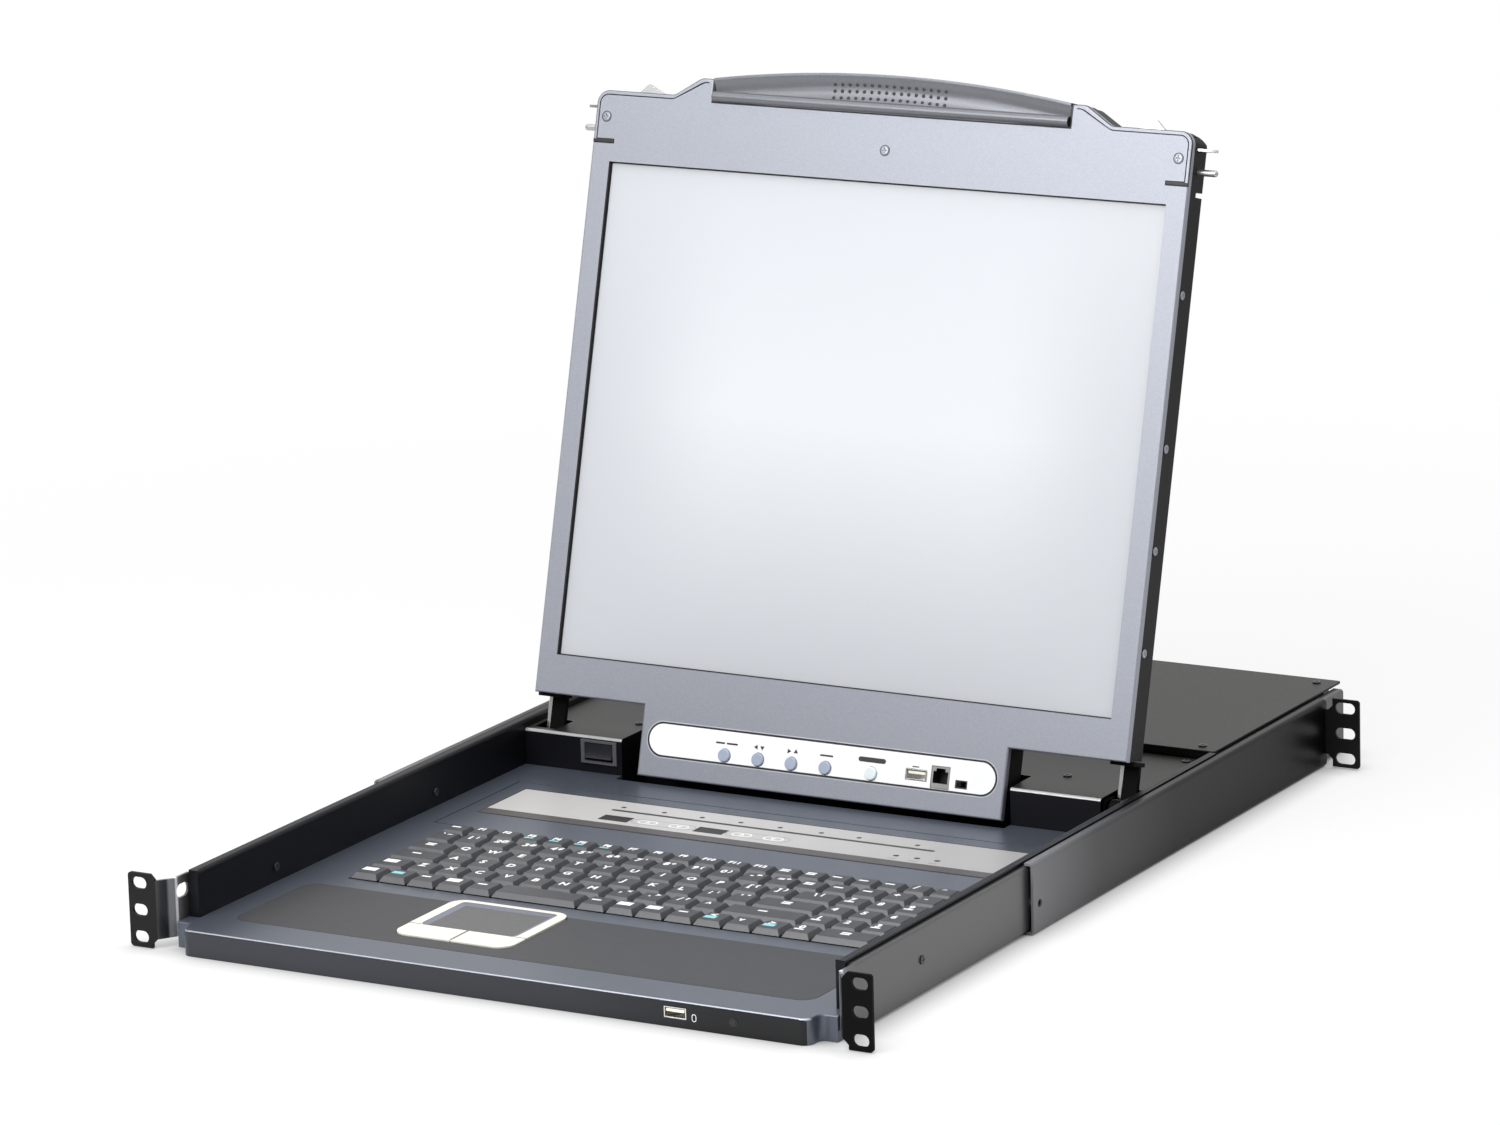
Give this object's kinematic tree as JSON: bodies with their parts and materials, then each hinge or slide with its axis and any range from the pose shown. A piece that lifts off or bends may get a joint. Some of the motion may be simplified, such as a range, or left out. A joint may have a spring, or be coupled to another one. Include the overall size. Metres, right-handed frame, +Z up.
{
  "type": "rackmount lcd console drawer",
  "caption": "Rack console drawer: flip-up LCD on a hinge over a keyboard and touchpad tray that slides out on ball rails between adjustable rack brackets, with a switch box behind.",
  "frame": {"origin": "centre of the front rack hole pattern, on the face of the ears that meets the posts", "axes": "+X to the right seen from the front, +Y into the rack, +Z up"},
  "size_m": [0.484, 0.6673, 0.436],
  "materials": {
    "rail_black": "semi-gloss black powder coat",
    "cover_grey": "dark warm grey textured paint",
    "slate_paint": "satin metallic slate",
    "black_plastic": "moulded satin black",
    "handle_charcoal": "satin metallic charcoal",
    "palm_grey": "fine textured dark grey",
    "key_charcoal": "fine matte charcoal",
    "panel_light": "printed light warm grey film",
    "window_dark": "smoked lens",
    "strip_silver": "bright silver film",
    "button_blue": "satin blue-grey",
    "button_white": "translucent white",
    "pad_champagne": "satin champagne metallic",
    "pad_grey": "fine matte grey",
    "nickel": "bright nickel",
    "zinc_steel": "zinc-plated steel",
    "board_green": "solder mask",
    "screen_glass": "anti-glare display film, pale",
    "led_green": "unlit lens",
    "socket_black": "moulded black",
    "supply_case": "plain folded case"
  },
  "bodies": {
    "rack_frame": {"left_outer_rail": "rail_black", "right_outer_rail": "rail_black", "switch_chassis": "rail_black", "switch_top_cover": "cover_grey", "main_board": "board_green", "power_supply": "supply_case", "power_inlet": "socket_black", "computer_ports": "nickel", "console_port": "nickel", "chassis_screws": "zinc_steel"},
    "left_bracket": {"left_rear_bracket": "rail_black"},
    "right_bracket": {"right_rear_bracket": "rail_black"},
    "left_cage": {"left_ball_cage": "zinc_steel"},
    "right_cage": {"right_ball_cage": "zinc_steel"},
    "drawer": {"left_inner_rail": "zinc_steel", "right_inner_rail": "zinc_steel", "keyboard_tray": "rail_black", "keyboard_deck": "slate_paint", "palm_rest_inlay": "palm_grey", "key_guide_plate": "black_plastic", "touchpad_frame": "pad_champagne", "touchpad": "pad_grey", "status_panel": "panel_light", "status_windows": "window_dark", "front_usb_port": "nickel", "power_led": "led_green", "rear_deck_cover": "cover_grey", "rocker_housing": "black_plastic", "left_hinge_bracket": "rail_black", "right_hinge_bracket": "rail_black", "deck_screws": "zinc_steel"},
    "pad_left_button": {"touchpad_left_button": "pad_champagne"},
    "pad_right_button": {"touchpad_right_button": "pad_champagne"},
    "rocker": {"power_rocker": "black_plastic"},
    "display": {"lid_bezel": "slate_paint", "lid_rear_cover": "black_plastic", "lcd_panel": "screen_glass", "display_board": "board_green", "lid_handle": "handle_charcoal", "control_strip": "strip_silver", "strip_board": "board_green", "strip_usb_port": "nickel", "strip_phone_jack": "socket_black", "left_hinge_arm": "rail_black", "right_hinge_arm": "rail_black", "lid_screws": "zinc_steel"},
    "power_button": {"panel_power_button": "button_white"},
    "slide_switch": {"strip_slide_switch": "black_plastic"},
    "left_catch": {"left_release_catch": "nickel"},
    "right_catch": {"right_release_catch": "nickel"},
    "menu_button_1": {"osd_button_1": "button_blue"},
    "menu_button_2": {"osd_button_2": "button_blue"},
    "menu_button_3": {"osd_button_3": "button_blue"},
    "menu_button_4": {"osd_button_4": "button_blue"},
    "keys_1": {"key_row_1": "key_charcoal"},
    "keys_2": {"key_row_2": "key_charcoal"},
    "keys_3": {"key_row_3": "key_charcoal"},
    "keys_4": {"key_row_4": "key_charcoal"},
    "keys_5": {"key_row_5": "key_charcoal"},
    "keys_6": {"key_row_6": "key_charcoal"}
  },
  "joints": [
    {"name": "drawer_slide", "type": "slide", "parent": "rack_frame", "child": "drawer", "axis": [0, -1, 0], "range_m": [0, 0.4]},
    {"name": "left_cage_slide", "type": "slide", "parent": "rack_frame", "child": "left_cage", "axis": [0, -1, 0], "range_m": [0, 0.2]},
    {"name": "right_cage_slide", "type": "slide", "parent": "rack_frame", "child": "right_cage", "axis": [0, -1, 0], "range_m": [0, 0.2]},
    {"name": "left_bracket_slide", "type": "slide", "parent": "rack_frame", "child": "left_bracket", "axis": [0, 1, 0], "range_m": [-0.19, 0.15]},
    {"name": "right_bracket_slide", "type": "slide", "parent": "rack_frame", "child": "right_bracket", "axis": [0, 1, 0], "range_m": [-0.19, 0.15]},
    {"name": "lid_hinge", "type": "hinge", "parent": "drawer", "child": "display", "pos_m": [0, 0.3848, 0.009], "axis": [1, 0, 0], "range_deg": [-10, 105.55]},
    {"name": "rocker_tip", "type": "hinge", "parent": "drawer", "child": "rocker", "pos_m": [-0.1535, 0.382, 0.006], "axis": [1, 0, 0], "range_deg": [0, 14]},
    {"name": "slide_switch_travel", "type": "slide", "parent": "display", "child": "slide_switch", "axis": [1, 0, 0], "range_m": [0, 0.003]},
    {"name": "left_catch_slide", "type": "slide", "parent": "display", "child": "left_catch", "axis": [-1, 0, 0], "range_m": [-0.006, 0.0045], "stiffness_N_per_m": 400},
    {"name": "pad_left_press", "type": "slide", "parent": "drawer", "child": "pad_left_button", "axis": [0, 0, -1], "range_m": [0, 0.0006], "stiffness_N_per_m": 1000, "springref_m": -0.0004},
    {"name": "right_catch_slide", "type": "slide", "parent": "display", "child": "right_catch", "axis": [1, 0, 0], "range_m": [-0.006, 0.0045], "stiffness_N_per_m": 400},
    {"name": "pad_right_press", "type": "slide", "parent": "drawer", "child": "pad_right_button", "axis": [0, 0, -1], "range_m": [0, 0.0006], "stiffness_N_per_m": 1000, "springref_m": -0.0004},
    {"name": "menu_button_1_press", "type": "slide", "parent": "display", "child": "menu_button_1", "axis": [0, 0.9634, -0.2681], "range_m": [0, 0.0006], "stiffness_N_per_m": 800, "springref_m": -0.0004},
    {"name": "menu_button_2_press", "type": "slide", "parent": "display", "child": "menu_button_2", "axis": [0, 0.9634, -0.2681], "range_m": [0, 0.0006], "stiffness_N_per_m": 800, "springref_m": -0.0004},
    {"name": "menu_button_3_press", "type": "slide", "parent": "display", "child": "menu_button_3", "axis": [0, 0.9634, -0.2681], "range_m": [0, 0.0006], "stiffness_N_per_m": 800, "springref_m": -0.0004},
    {"name": "menu_button_4_press", "type": "slide", "parent": "display", "child": "menu_button_4", "axis": [0, 0.9634, -0.2681], "range_m": [0, 0.0006], "stiffness_N_per_m": 800, "springref_m": -0.0004},
    {"name": "power_button_press", "type": "slide", "parent": "display", "child": "power_button", "axis": [0, 0.9634, -0.2681], "range_m": [0, 0.0006], "stiffness_N_per_m": 800, "springref_m": -0.0004},
    {"name": "keys_1_press", "type": "slide", "parent": "drawer", "child": "keys_1", "axis": [0, 0, -1], "range_m": [0, 0.0022], "stiffness_N_per_m": 1500, "springref_m": -0.001},
    {"name": "keys_2_press", "type": "slide", "parent": "drawer", "child": "keys_2", "axis": [0, 0, -1], "range_m": [0, 0.0022], "stiffness_N_per_m": 1500, "springref_m": -0.001},
    {"name": "keys_3_press", "type": "slide", "parent": "drawer", "child": "keys_3", "axis": [0, 0, -1], "range_m": [0, 0.0022], "stiffness_N_per_m": 1500, "springref_m": -0.001},
    {"name": "keys_4_press", "type": "slide", "parent": "drawer", "child": "keys_4", "axis": [0, 0, -1], "range_m": [0, 0.0022], "stiffness_N_per_m": 1500, "springref_m": -0.001},
    {"name": "keys_5_press", "type": "slide", "parent": "drawer", "child": "keys_5", "axis": [0, 0, -1], "range_m": [0, 0.0022], "stiffness_N_per_m": 1500, "springref_m": -0.001},
    {"name": "keys_6_press", "type": "slide", "parent": "drawer", "child": "keys_6", "axis": [0, 0, -1], "range_m": [0, 0.0022], "stiffness_N_per_m": 1500, "springref_m": -0.001}
  ],
  "couplings": [
    {"joint": "left_cage_slide", "follows": "drawer_slide", "ratio": 0.5},
    {"joint": "right_cage_slide", "follows": "drawer_slide", "ratio": 0.5}
  ]
}
